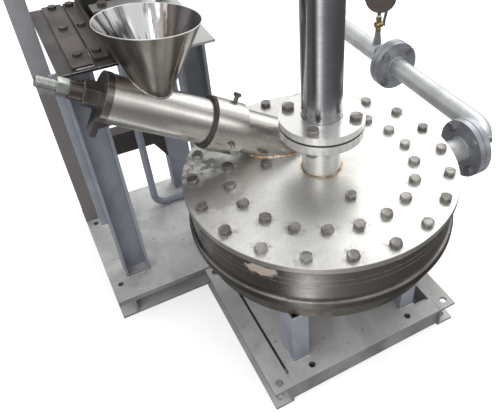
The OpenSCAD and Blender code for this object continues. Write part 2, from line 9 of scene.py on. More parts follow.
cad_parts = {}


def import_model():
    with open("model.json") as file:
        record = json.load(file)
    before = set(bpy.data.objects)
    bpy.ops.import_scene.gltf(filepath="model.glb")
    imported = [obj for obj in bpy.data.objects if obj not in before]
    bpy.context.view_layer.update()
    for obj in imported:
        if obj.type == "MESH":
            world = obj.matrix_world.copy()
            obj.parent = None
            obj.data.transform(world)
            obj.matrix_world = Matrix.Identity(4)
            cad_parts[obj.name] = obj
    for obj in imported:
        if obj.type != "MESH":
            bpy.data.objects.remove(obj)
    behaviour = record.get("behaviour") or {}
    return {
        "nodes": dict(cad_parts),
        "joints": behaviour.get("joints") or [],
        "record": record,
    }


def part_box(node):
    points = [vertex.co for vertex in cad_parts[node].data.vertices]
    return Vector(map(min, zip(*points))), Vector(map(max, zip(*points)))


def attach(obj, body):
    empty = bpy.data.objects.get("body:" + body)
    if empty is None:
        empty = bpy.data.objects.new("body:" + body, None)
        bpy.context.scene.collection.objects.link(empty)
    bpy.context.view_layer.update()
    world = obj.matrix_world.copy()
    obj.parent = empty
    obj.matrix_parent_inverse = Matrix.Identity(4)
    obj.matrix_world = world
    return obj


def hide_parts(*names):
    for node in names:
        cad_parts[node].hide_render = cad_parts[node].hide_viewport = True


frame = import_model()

# A flat spiral jet mill with its feed injector, air line and welded frames.
# All lengths are metres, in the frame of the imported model.

NODES = frame["nodes"]
JOINTS = {joint["name"]: joint for joint in frame["joints"]}
MOUNTS = {mount["name"]: mount for mount in frame["record"]["mounts"]}
MM = 0.001
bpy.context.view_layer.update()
UP = Vector((0, 0, 1))


# ---- places read from the frame ---------------------------------------------

def centre(node):
    """Middle of a CAD node's box."""
    low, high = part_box(node)
    return (low + high) / 2


COVER_LOW, COVER_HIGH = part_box("cover_plate")
COVER_TOP = COVER_HIGH.z
COVER_MID = Vector((*(COVER_LOW + COVER_HIGH).xy / 2, COVER_TOP))
COVER_R = (COVER_HIGH.x - COVER_LOW.x) / 2
BOLT_STEP = math.radians(18)
# the cover's bolt circles: radius, heading of one bolt, reach of the smears round each bolt
BOLT_CIRCLES = ((0.295, 0.0, 0.042), (0.2175, BOLT_STEP / 2, 0.036))
# the discharge tube, its two lower flanges, and its girth weld's height over the pipe's foot
TUBE_R = 44.45 * MM
STUB_FLANGE_THICK = 22 * MM
PIPE_FLANGE_THICK = 18 * MM
SEAM_RISE = 34 * MM
# the air pipe, with its flanges and the middle of its open end
AIR_R = 30.15 * MM
AIR_LINE = Vector(MOUNTS["air_supply_flange"]["pos_m"])
AIR_FLANGE_THICK = 16 * MM
INLET_Y = centre("inlet_nozzle").y
# the elbow lies past its flange in x, and the straight pipe starts past the bend in y
ELBOW_FROM_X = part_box("inlet_nozzle")[1].x + 18.5 * MM
STRAIGHT_FROM_Y = INLET_Y + 77.5 * MM
INJECTOR_R = 50.8 * MM
INJECTOR_AXIS = Vector(JOINTS["nozzle_adjust"]["axis"]).normalized()
LOCK_NUT = Vector(JOINTS["lock_nut_turn"]["pos_m"])
# where the injector's axis meets the cover's top face
INJECTOR_FOOT = LOCK_NUT - INJECTOR_AXIS * ((LOCK_NUT.z - COVER_TOP) / INJECTOR_AXIS.z)
# the end of the injector's foot weld that is next to the discharge tube
INJECTOR_TOE = INJECTOR_FOOT + Vector((85, -20, 0)) * MM
# marks on the cover and on the ring's wall
SCRAPE = COVER_MID + Vector((-247, 160, 0)) * MM
# the middle of a spot of painted shade at the cover's edge, under the injector
INJECTOR_SHADE_SPOT = COVER_MID + Vector((-262, 45, 0)) * MM
RING_PATCH = COVER_MID + Vector((-247, -190, -40)) * MM
# the way that the side of the hopper's inside with painted shade faces
HOPPER_SHADED_SIDE = (0.996, -0.087, 0)
# height where the rear post turns brown
POST_BAND = 0.50


def solids(node):
    """The lowest and highest corner of each separate solid of a CAD node."""
    work = bmesh.new()
    work.from_mesh(NODES[node].data)
    bmesh.ops.remove_doubles(work, verts=work.verts, dist=1e-5)
    seen, found = set(), []
    for start in work.verts:
        if start in seen:
            continue
        seen.add(start)
        queue, members = [start], []
        while queue:
            vert = queue.pop()
            members.append(vert.co.copy())
            for edge in vert.link_edges:
                other = edge.other_vert(vert)
                if other not in seen:
                    seen.add(other)
                    queue.append(other)
        low = Vector([min(co[i] for co in members) for i in range(3)])
        high = Vector([max(co[i] for co in members) for i in range(3)])
        found.append((low, high))
    work.free()
    return sorted(found, key=lambda box: [round(value, 4) for value in box[0]])


def rim_ring():
    """Middle, radius and axis of the hopper's rim, from the flat top face of the CAD cone."""
    mesh = NODES["feed_hopper"].data
    flat = max(mesh.polygons, key=lambda face: face.center.z).normal.copy()
    spots = set()
    for face in mesh.polygons:
        if face.normal.dot(flat) > 0.9999:
            spots.update(tuple(round(v, 6) for v in mesh.vertices[i].co) for i in face.vertices)
    spots = [Vector(spot) for spot in spots]
    mid = sum(spots, Vector()) / len(spots)
    return mid, max((spot - mid).length for spot in spots), flat


# ---- mesh helpers -------------------------------------------------------------

def add_piece(name, mesh_data, look, body, smooth=True):
    """Turns a bmesh into an object that rides on a body."""
    mesh = bpy.data.meshes.new(name)
    bmesh.ops.recalc_face_normals(mesh_data, faces=mesh_data.faces)
    mesh_data.to_mesh(mesh)
    mesh_data.free()
    piece = bpy.data.objects.new(name, mesh)
    bpy.context.scene.collection.objects.link(piece)
    mesh.materials.append(look)
    for face in mesh.polygons:
        face.use_smooth = smooth
    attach(piece, body)
    return piece


def side_axes(axis):
    """Two unit vectors square to an axis and to each other."""
    helper = UP if abs(axis.z) < 0.9 else Vector((1, 0, 0))
    first = axis.cross(helper).normalized()
    return first, axis.cross(first).normalized()


def circle(mid, axis, radius, count=72):
    """Points evenly round a circle."""
    first, second = side_axes(axis)
    return [
        mid + (first * math.cos(a) + second * math.sin(a)) * radius
        for a in (2 * math.pi * i / count for i in range(count))
    ]


def rectangle(low, high, z):
    """The four corners of a box's outline at one height."""
    return [Vector((x, y, z)) for x, y in
            ((low.x, low.y), (high.x, low.y), (high.x, high.y), (low.x, high.y))]


def add_rings(mesh_data, rings, closed=False):
    """Joins rings of points, all of one count, into a skin with closed ends."""
    loops = [[mesh_data.verts.new(point) for point in ring] for ring in rings]
    pairs = list(zip(loops, loops[1:]))
    if closed:
        pairs.append((loops[-1], loops[0]))
    for one, two in pairs:
        count = len(one)
        for i in range(count):
            j = (i + 1) % count
            mesh_data.faces.new((one[i], one[j], two[j], two[i]))
    if not closed:
        mesh_data.faces.new(loops[0])
        mesh_data.faces.new(loops[-1])


def add_turned(mesh_data, foot, axis, profile, sides=48):
    """A turned solid: profile is (radius, height) pairs along the axis."""
    add_rings(mesh_data, [circle(foot + axis * height, axis, radius, sides) for radius, height in profile])


def add_hex_head(mesh_data, foot, axis, flats, height, turn):
    """A hexagon head with the chamfer of a forged bolt."""
    first, second = side_axes(axis)
    count, chamfer_slope = 36, 0.62
    land = 0.46 * flats
    dish_r, dish = 0.8 * land, 0.03 * flats
    rings = [[], [], [], []]
    for i in range(count):
        a = 2 * math.pi * i / count
        reach = flats / 2 / math.cos((a + math.pi / 6) % (math.pi / 3) - math.pi / 6)
        drop = (reach - land) * chamfer_slope
        way = first * math.cos(a + turn) + second * math.sin(a + turn)
        spots = ((reach, 0), (reach, height - drop), (land, height), (dish_r, height - dish))
        for ring, (radius, rise) in zip(rings, spots):
            ring.append(foot + way * radius + axis * rise)
    add_rings(mesh_data, rings)


def resampled(path, step, closed):
    """The path again with points an equal step apart."""
    points = path + [path[0]] if closed else path
    lengths = [0.0]
    for one, two in zip(points, points[1:]):
        lengths.append(lengths[-1] + (two - one).length)
    count = max(2, round(lengths[-1] / step))
    result, k = [], 0
    for i in range(count if closed else count + 1):
        want = lengths[-1] * i / count
        while k < len(points) - 2 and lengths[k + 1] < want:
            k += 1
        share = (want - lengths[k]) / max(lengths[k + 1] - lengths[k], 1e-9)
        result.append(points[k].lerp(points[k + 1], share))
    return result


def add_bead(mesh_data, path, radius, closed=True, seed=0.0, rough=0.22):
    """A weld bead: a rippled, uneven string along a path."""
    step, sides = 0.45 * radius, 8
    points = resampled(path, step, closed)
    count = len(points)
    rings = []
    for i, point in enumerate(points):
        before = points[(i - 1) % count] if closed or i else point
        after = points[(i + 1) % count] if closed or i < count - 1 else point
        wave = 0.5 + 0.5 * math.sin(i * 1.35)
        jitter = noise.noise(point * 160 + Vector((seed, seed, seed)))
        size = radius * (0.9 + 0.14 * wave + rough * jitter)
        if not closed:
            # an open bead swells from a thin start and end
            size *= min(1.0, 0.35 + 0.3 * min(i, count - 1 - i))
        rings.append(circle(point, (after - before).normalized(), size, sides))
    add_rings(mesh_data, rings, closed)


# ---- looks --------------------------------------------------------------------

class Graph:
    """A node tree, with a short call for each kind of node that looks and world use."""

    def __init__(self, tree, coordinates):
        self.tree = tree
        self.place = self.node("ShaderNodeTexCoord").outputs[coordinates]

    def put(self, socket, value):
        """Sets a socket's value, or links another node's output to it."""
        if isinstance(value, bpy.types.NodeSocket):
            self.tree.links.new(value, socket)
        else:
            socket.default_value = value

    def node(self, kind, inputs=None, **settings):
        """Makes a node; inputs are values or outputs, by the input's name or number."""
        made = self.tree.nodes.new(kind)
        for key, value in settings.items():
            setattr(made, key, value)
        for socket, value in (inputs or {}).items():
            self.put(made.inputs[socket], value)
        return made

    def math(self, operation, a, b=0.0):
        return self.node("ShaderNodeMath", {0: a, 1: b}, operation=operation).outputs[0]

    def add(self, a, b):
        return self.math("ADD", a, b)

    def minus(self, a, b):
        return self.math("SUBTRACT", a, b)

    def times(self, a, b):
        return self.math("MULTIPLY", a, b)

    def hypot(self, a, b):
        """Length of the long side of a right triangle."""
        return self.math("SQRT", self.add(self.times(a, a), self.times(b, b)))

    def span(self, value, low, high, out_low=0.0, out_high=1.0):
        """A smooth step from one level to another."""
        inputs = {"Value": value, "From Min": low, "From Max": high, "To Min": out_low, "To Max": out_high}
        return self.node("ShaderNodeMapRange", inputs, interpolation_type="SMOOTHSTEP").outputs[0]

    def within(self, value, low, high, soft):
        """1 between two limits, with soft edges inside them."""
        return self.math("MINIMUM", self.span(value, low, low + soft), self.span(value, high, high - soft))

    def ragged(self, value, pattern, reach):
        """A distance with a pattern's ups and downs added, for an uneven outline."""
        return self.add(value, self.span(pattern, 0.3, 0.7, -reach, reach))

    def blend(self, share, one, two):
        """Mixes two colours, each an (r, g, b) tuple or another node's output."""
        one, two = [(*colour, 1) if isinstance(colour, tuple) else colour for colour in (one, two)]
        return self.node("ShaderNodeMix", {0: share, 6: one, 7: two}, data_type="RGBA").outputs[2]

    def noise(self, scale, detail=4.0, rough=0.6, stretch=(1, 1, 1), distort=0.0):
        mapping = self.node("ShaderNodeMapping", {"Vector": self.place, "Scale": stretch})
        inputs = {"Vector": mapping.outputs[0], "Scale": scale, "Detail": detail, "Roughness": rough,
                  "Distortion": distort}
        return self.node("ShaderNodeTexNoise", inputs).outputs["Fac"]

    def vector(self, x, y, z=0.0):
        return self.node("ShaderNodeCombineXYZ", {0: x, 1: y, 2: z}).outputs[0]

    def parts(self, vector=None):
        """The x, y and z of a vector, or of the place."""
        return self.node("ShaderNodeSeparateXYZ", {0: self.place if vector is None else vector}).outputs

    def dot(self, one, two):
        return self.node("ShaderNodeVectorMath", {0: one, 1: two}, operation="DOT_PRODUCT").outputs["Value"]

    def distance(self, point):
        """Distance of the place from a fixed point."""
        inputs = {0: self.place, 1: point}
        return self.node("ShaderNodeVectorMath", inputs, operation="DISTANCE").outputs["Value"]

    def from_axis(self):
        """Offsets in x and y from the chamber's axis, and the distance from it."""
        x, y, _ = self.parts()
        dx = self.minus(x, COVER_MID.x)
        dy = self.minus(y, COVER_MID.y)
        return dx, dy, self.hypot(dx, dy)


class Look(Graph):
    """A procedural material under construction."""

    def __init__(self, name, metallic=1.0):
        self.mat = bpy.data.materials.new(name)
        self.mat.use_nodes = True
        super().__init__(self.mat.node_tree, "Object")
        self.shader = self.tree.nodes["Principled BSDF"]
        self.shader.inputs["Metallic"].default_value = metallic

    def true_normal(self):
        return self.node("ShaderNodeNewGeometry").outputs["True Normal"]

    def edges(self, radius):
        """1 along sharp edges and 0 on flat faces, and the normal with rounded edges."""
        rounded = self.node("ShaderNodeBevel", {"Radius": radius}, samples=4).outputs[0]
        plain = self.node("ShaderNodeNewGeometry").outputs["Normal"]
        return self.span(self.dot(rounded, plain), 0.985, 0.8), rounded

    def bump(self, height, strength, depth, normal=None):
        inputs = {"Strength": strength, "Distance": depth, "Height": height}
        if normal is not None:
            inputs["Normal"] = normal
        self.put(self.shader.inputs["Normal"], self.node("ShaderNodeBump", inputs).outputs[0])

    def finish(self, colour, roughness):
        self.put(self.shader.inputs["Base Color"], colour)
        self.put(self.shader.inputs["Roughness"], roughness)
        return self.mat

    def finish_in_relief(self, colour, fine, strength, depth, rough):
        """Finishes with a fine pattern as relief and as roughness from one level to another."""
        self.bump(fine, strength, depth)
        return self.finish(colour, self.span(fine, 0.3, 0.7, *rough))


def metal(name, clean, dull, rough, wear, patch=9.0, grain=(1, 1, 1), grain_scale=900.0,
          grain_depth=0.00004, metallic=1.0, spots=None, spot_share=0.0, edge=0.0008,
          patch_span=(0.35, 0.68), grain_share=0.28):
    """A worked metal: patches of two colours, fine grain, spots and worn edges.

    rough is the roughness of the clean and of the dull patches. grain stretches the fine
    pattern, and grain_share is how dark it gets. A higher spot_share makes more spots.
    """
    look = Look(name, metallic)
    clouds = look.noise(patch, 6, 0.62, distort=0.4)
    fine = look.noise(grain_scale, 3, 0.55, grain)
    colour = look.blend(look.span(clouds, *patch_span), clean, dull)
    dark = tuple(level * 0.45 for level in dull)
    colour = look.blend(look.span(fine, 0.3, 0.75, 0.0, grain_share), colour, dark)
    roughness = look.add(look.span(clouds, 0.3, 0.7, *rough), look.span(fine, 0.2, 0.8, -0.05, 0.08))
    if spots:
        speck = look.noise(patch * 9, 4, 0.7)
        share = look.span(speck, 0.66 - spot_share, 0.76 - spot_share)
        colour = look.blend(share, colour, spots)
    sharp, rounded = look.edges(edge)
    worn = look.times(sharp, look.span(look.noise(120, 3), 0.3, 0.6, 0.3, 1.0))
    look.bump(fine, 0.5, grain_depth, rounded)
    return look, look.blend(worn, colour, wear), roughness


def plain_metal(*args, **settings):
    look, colour, roughness = metal(*args, **settings)
    return look.finish(colour, roughness)


def cover_look():
    """Satin stainless plate with smears round its bolts and heat tint at its welds."""
    look, colour, roughness = metal(
        "cover_satin", (0.71, 0.705, 0.68), (0.57, 0.565, 0.54), (0.29, 0.40), patch=5,
        grain=(1, 0.12, 1), grain_scale=700, grain_depth=0.00002, wear=(0.85, 0.84, 0.8))
    dx, dy, out = look.from_axis()
    turn = look.math("ARCTAN2", dy, dx)
    smear = look.noise(46, 6, 0.72)
    corner = look.span(look.distance(SCRAPE), 0.095, 0.045)
    scraped = look.times(corner, look.span(look.noise(26, 7, 0.75), 0.56, 0.46, 0.0, 0.9))
    bare = look.times(scraped, 0.8)
    for circle_r, start, smear_r in BOLT_CIRCLES:
        # the plate folded to half a step gives the distance from the nearest bolt
        along = look.times(out, look.math("PINGPONG", look.minus(turn, start), BOLT_STEP / 2))
        gap = look.hypot(along, look.minus(out, circle_r))
        near = look.span(gap, smear_r, 0.008)
        dark = look.times(near, look.span(smear, 0.52, 0.60, 0.0, 0.8))
        pale = look.times(near, look.span(smear, 0.46, 0.38, 0.0, 0.8))
        bare = look.add(bare, look.times(pale, 0.6))
        colour = look.blend(dark, colour, (0.26, 0.235, 0.20))
        colour = look.blend(pale, colour, (0.74, 0.73, 0.69))
        roughness = look.add(roughness, look.times(near, 0.08))
    flecks = look.noise(150, 4, 0.75, (1, 0.5, 1))
    colour = look.blend(look.span(flecks, 0.66, 0.74, 0.0, 0.55), colour, (0.32, 0.29, 0.25))
    colour = cover_side(look, colour, out)
    # scraped corner beside the injector
    colour = look.blend(scraped, colour, (0.80, 0.79, 0.75))
    blotch = look.span(look.noise(75, 7, 0.78, (1, 0.7, 1)), 0.57, 0.66, 0.0, 0.8)
    colour = look.blend(look.times(corner, blotch), colour, (0.20, 0.175, 0.15))
    look.put(look.shader.inputs["Metallic"], look.math("MAXIMUM", look.minus(0.87, bare), 0.2))
    # painted shade: a darker grey spot at the cover's edge, under the injector
    stain = look.ragged(look.distance(INJECTOR_SHADE_SPOT), look.noise(18, 6, 0.7), 0.03)
    colour = look.blend(look.span(stain, 0.085, 0.035, 0.0, 0.6), colour, (0.30, 0.29, 0.275))
    return look.finish(cover_tint(look, colour, out, smear), roughness)


def cover_side(look, colour, out):
    """The cover's turned side, darker in a thin band along its foot where it meets its gasket."""
    side = look.span(out, COVER_R - 1.3 * MM, COVER_R - 0.6 * MM)
    colour = look.blend(side, colour, (0.42, 0.40, 0.375))
    low = look.span(look.parts()[2], COVER_LOW.z + 3.5 * MM, COVER_LOW.z + 1.5 * MM, 0.0, 0.9)
    return look.blend(look.times(side, low), colour, (0.06, 0.05, 0.045))


def cover_tint(look, colour, out, smear):
    """Straw and brown oxide next to the tube's weld and the injector's weld."""
    ripple = look.ragged(look.minus(out, TUBE_R), smear, 6 * MM)
    colour = look.blend(look.span(ripple, 0.017, 0.006, 0.0, 0.55), colour, (0.62, 0.50, 0.33))
    colour = look.blend(look.span(ripple, 0.008, 0.003, 0.0, 0.6), colour, (0.30, 0.20, 0.14))
    toe = look.ragged(look.distance(INJECTOR_TOE), smear, 12 * MM)
    return look.blend(look.span(toe, 0.055, 0.02, 0.0, 0.75), colour, (0.52, 0.34, 0.18))


def ring_look():
    """Turned chamber wall: brown-grey steel with lathe lines and one pale patch."""
    look, colour, roughness = metal(
        "ring_turned", (0.35, 0.335, 0.32), (0.24, 0.225, 0.21), (0.19, 0.28), patch=7,
        grain=(0.02, 0.02, 1), grain_scale=1500, grain_depth=0.000008, wear=(0.46, 0.43, 0.40))
    dx, dy, dz = [look.minus(value, spot) for value, spot in zip(look.parts(), RING_PATCH)]
    # the patch is about twice as wide as it is high
    size = look.hypot(look.hypot(dx, dy), look.times(dz, 2.1))
    patch = look.span(look.ragged(size, look.noise(34, 5), 12 * MM), 0.044, 0.030, 0.0, 0.85)
    look.put(look.shader.inputs["Metallic"], look.minus(1.0, look.times(patch, 0.75)))
    return look.finish(look.blend(patch, colour, (0.50, 0.42, 0.36)), roughness)


def injector_look():
    """Ground stainless tube: rings round its axis and straw tint beside its foot weld."""
    look, colour, roughness = metal(
        "injector_ground", (0.64, 0.625, 0.60), (0.50, 0.475, 0.44), (0.22, 0.30), patch=5,
        grain_scale=1600, grain_depth=0.000004, wear=(0.8, 0.78, 0.74), grain_share=0.08)
    inputs = {"W": look.dot(look.place, INJECTOR_AXIS), "Scale": 300, "Detail": 6}
    rings = look.node("ShaderNodeTexNoise", inputs, noise_dimensions="1D").outputs["Fac"]
    colour = look.blend(look.span(rings, 0.35, 0.7, 0.0, 0.12), colour, (0.36, 0.335, 0.30))
    toe = look.ragged(look.distance(INJECTOR_TOE), look.noise(50, 4), 12 * MM)
    colour = look.blend(look.span(toe, 0.075, 0.035, 0.0, 0.5), colour, (0.50, 0.37, 0.25))
    return look.finish(colour, look.add(roughness, look.span(rings, 0.3, 0.7, -0.01, 0.02)))


def hopper_look():
    """Polished cone with streaks that run from its rim to its throat, and painted shade darkening one side of
    its inside.
    """
    mid = rim_ring()[0]
    look, colour, roughness = metal(
        "hopper_polished", (0.56, 0.535, 0.505), (0.40, 0.375, 0.35), (0.13, 0.22), patch=7,
        grain_scale=1500, grain_depth=0.000004, wear=(0.85, 0.83, 0.8), edge=0.0006, grain_share=0.1)
    x, y, z = look.parts()
    dx = look.minus(x, mid.x)
    dy = look.minus(y, mid.y)
    ray = look.vector(look.math("ARCTAN2", dy, dx), look.times(z, 1.5))
    inputs = {"Vector": ray, "Scale": 3.2, "Detail": 5, "Roughness": 0.6}
    streak = look.node("ShaderNodeTexNoise", inputs, noise_dimensions="2D").outputs["Fac"]
    level = look.vector(dx, dy)
    outside = look.math("GREATER_THAN", look.dot(level, look.true_normal()), 0.0)
    inner = look.blend(look.span(streak, 0.40, 0.52), (0.72, 0.72, 0.73), (0.13, 0.125, 0.125))
    inner = look.blend(look.span(streak, 0.58, 0.66), inner, (0.55, 0.55, 0.57))
    # painted shade: the inside goes brown-black towards one side
    heading = look.node("ShaderNodeVectorMath", {0: level}, operation="NORMALIZE").outputs["Vector"]
    dull = look.add(look.dot(heading, HOPPER_SHADED_SIDE), look.span(streak, 0.4, 0.6, -0.12, 0.12))
    shade = look.blend(look.span(streak, 0.42, 0.60), (0.06, 0.055, 0.058), (0.19, 0.155, 0.135))
    inner = look.blend(look.span(dull, 0.38, 0.60, 0.0, 0.92), inner, shade)
    outer = look.blend(0.6, colour, (0.20, 0.175, 0.155))
    outer = look.blend(look.span(streak, 0.40, 0.62, 0.0, 0.55), outer, (0.12, 0.10, 0.09))
    return look.finish(look.blend(outside, inner, outer), look.add(roughness, look.times(outside, 0.06)))


def tube_look():
    """Polished discharge tube, bluish and dark, with a dull seam and pale flanges."""
    look, colour, roughness = metal(
        "tube_polished", (0.47, 0.475, 0.50), (0.37, 0.375, 0.40), (0.15, 0.22), patch=6,
        grain=(0.05, 0.05, 1), grain_scale=900, grain_depth=0.00001, wear=(0.8, 0.8, 0.8))
    flange = look.span(look.from_axis()[2], TUBE_R + 1 * MM, TUBE_R + 3 * MM)
    colour = look.blend(flange, colour, (0.71, 0.705, 0.69))
    look.put(look.shader.inputs["Metallic"], look.span(flange, 0, 1, 1.0, 0.72))
    seam_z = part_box("discharge_pipe")[0].z + SEAM_RISE
    gap = look.math("ABSOLUTE", look.minus(look.parts()[2], seam_z))
    gap = look.ragged(gap, look.noise(70, 4), 6 * MM)
    colour = look.blend(look.span(gap, 0.014, 0.002, 0.0, 0.5), colour, (0.30, 0.27, 0.25))
    # painted shade and dirt at the discharge joint's gap
    return look.finish(joint_shade_and_dirt(look, colour), roughness)


def joint_shade_and_dirt(look, colour):
    """Painted shade and dirt in the chamfers on both sides of the discharge joint."""
    gap = look.math("ABSOLUTE", look.minus(look.parts()[2], centre("outlet_gasket").z))
    return look.blend(look.span(gap, 3.2 * MM, 2.2 * MM, 0.0, 0.9), colour, (0.03, 0.028, 0.026))


def flange_look():
    """Turned stainless of the stub and its flange."""
    look, colour, roughness = metal(
        "flange_turned", (0.74, 0.735, 0.72), (0.58, 0.575, 0.56), (0.13, 0.2),
        grain=(0.05, 0.05, 1), grain_depth=0.00001, metallic=0.6, wear=(0.8, 0.8, 0.78))
    # painted shade and dirt at the discharge joint's gap
    return look.finish(joint_shade_and_dirt(look, colour), roughness)


def post_look():
    """Blue-grey channel that turns brown under a band."""
    look, colour, roughness = metal(
        "post_blue_grey", (0.30, 0.305, 0.33), (0.22, 0.215, 0.22), (0.36, 0.5), patch=5,
        metallic=0.25, wear=(0.42, 0.42, 0.44), edge=0.0018, grain_share=0.12)
    up = look.ragged(look.parts()[2], look.noise(20, 4), 20 * MM)
    brown = look.span(up, POST_BAND, POST_BAND - 0.02, 0.0, 0.7)
    return look.finish(look.blend(brown, colour, (0.145, 0.122, 0.115)), roughness)


def base_look():
    """Aluminium paint with stains; faces that don't face up are painted darker grey as shade, unevenly."""
    look, colour, roughness = metal(
        "base_aluminium_paint", (0.60, 0.60, 0.605), (0.42, 0.42, 0.415), (0.38, 0.5), patch=8,
        metallic=0.2, spots=(0.17, 0.14, 0.115), spot_share=0.035, wear=(0.17, 0.145, 0.125),
        edge=0.0012, grain_share=0.18)
    stain = look.span(look.noise(6, 6, 0.7), 0.53, 0.68, 0.0, 0.5)
    colour = look.blend(stain, colour, (0.36, 0.335, 0.31))
    # painted shade: the upright faces are darkened, unevenly by a stretched noise
    side = look.span(look.parts(look.true_normal())[2], 0.7, 0.3)
    shade_mottle = look.span(look.noise(9, 5, 0.65, (1, 1, 0.4)), 0.35, 0.65, 0.75, 1.0)
    return look.finish(look.blend(look.times(side, shade_mottle), colour, (0.14, 0.138, 0.137)), roughness)


def table_look():
    """Scaled plate, with a painted shadow beside the feeder's bed, and a pale corner past the hopper that is
    clean steel and a painted highlight.
    """
    # its sharp edges are very pale: worn steel, and a painted highlight along the plate's thin edge
    look, colour, roughness = metal(
        "table_scale", (0.095, 0.087, 0.087), (0.062, 0.053, 0.052), (0.30, 0.46), patch=6,
        metallic=0.6, spots=(0.25, 0.225, 0.21), spot_share=-0.02, wear=(0.80, 0.81, 0.82), edge=0.0022)
    x = look.parts()[0]
    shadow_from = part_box("feeder_bed")[1].x
    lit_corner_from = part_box("stand_table")[1].x - 70 * MM
    # painted shadow: the plate goes black from the feeder's bed towards the hopper
    hopper_painted_shadow = look.span(x, shadow_from, shadow_from + 6 * MM, 0.0, 0.9)
    colour = look.blend(hopper_painted_shadow, colour, (0.016, 0.014, 0.014))
    # the corner past the hopper is pale: clean steel, and a painted highlight where the light falls on it
    pale = look.span(x, lit_corner_from - 10 * MM, lit_corner_from + 10 * MM)
    return look.finish(look.blend(pale, colour, (0.44, 0.45, 0.44)), roughness)


def weld_look(name, metallic, tint_scale, clean, warm, dark, warm_span, dark_span):
    """Weld metal that turns from its clean colour to a warm and a dark heat tint."""
    look = Look(name, metallic)
    tint = look.noise(tint_scale, 4, 0.6)
    colour = look.blend(look.span(tint, *warm_span), clean, warm)
    colour = look.blend(look.span(tint, *dark_span), colour, dark)
    return look.finish_in_relief(colour, look.noise(1400, 3), 0.6, 0.00008, (0.25, 0.45))


def painted_weld_look():
    """Painted-over weld: uneven, pale aluminium."""
    look = Look("weld_pale", 0.7)
    colour = look.blend(look.span(look.noise(90, 3), 0.4, 0.65), (0.58, 0.59, 0.60), (0.36, 0.36, 0.355))
    return look.finish_in_relief(colour, look.noise(700, 4), 0.6, 0.0001, (0.3, 0.5))


def zinc_look():
    """Galvanised pipe with spangle and stains; its flanges are dark blue-grey."""
    look, colour, roughness = metal(
        "zinc_pipe", (0.61, 0.625, 0.63), (0.45, 0.46, 0.465), (0.30, 0.44), patch=10,
        grain_scale=500, grain_depth=0.00002, metallic=0.6, wear=(0.58, 0.60, 0.62))
    spangle = look.node("ShaderNodeTexVoronoi", {"Vector": look.place, "Scale": 95}).outputs["Color"]
    colour = look.blend(look.times(spangle, 0.22), colour, (0.58, 0.59, 0.60))
    x, y, z = look.parts()
    rise = look.minus(z, AIR_LINE.z)

    def off_axis(across, middle):
        """1 where a point is further from the pipe's axis than the pipe's surface."""
        return look.span(look.hypot(look.minus(across, middle), rise), 32.5 * MM, 33.5 * MM)

    # flanges: off the inlet's axis before the elbow, or off the line's axis after the bend
    before = look.times(look.math("LESS_THAN", x, ELBOW_FROM_X), off_axis(y, INLET_Y))
    after = look.times(look.math("GREATER_THAN", y, STRAIGHT_FROM_Y), off_axis(x, AIR_LINE.x))
    cloud = look.span(look.noise(14, 5), 0.35, 0.65)
    grey = look.blend(cloud, (0.40, 0.415, 0.445), (0.27, 0.28, 0.31))
    colour = look.blend(look.math("MAXIMUM", before, after), colour, grey)
    blot = look.span(look.noise(26, 5, 0.7), 0.60, 0.72, 0.0, 0.6)
    return look.finish(look.blend(blot, colour, (0.36, 0.31, 0.25)), roughness)


def glass_look():
    """Clear glass with faint smudges."""
    look = Look("gauge_pane", 0.0)
    look.shader.inputs["Transmission Weight"].default_value = 1.0
    look.shader.inputs["IOR"].default_value = 1.46
    return look.finish((0.95, 0.98, 0.97, 1), look.span(look.noise(40, 3), 0.3, 0.7, 0.02, 0.06))


def flat_look(name, one, two, rough, scale=60.0):
    """Paint, rubber or plastic with a slight mottle."""
    look = Look(name, 0.0)
    colour = look.blend(look.span(look.noise(scale, 4), 0.35, 0.65), one, two)
    return look.finish_in_relief(colour, look.noise(scale * 12, 3), 0.4, 0.00005, rough)


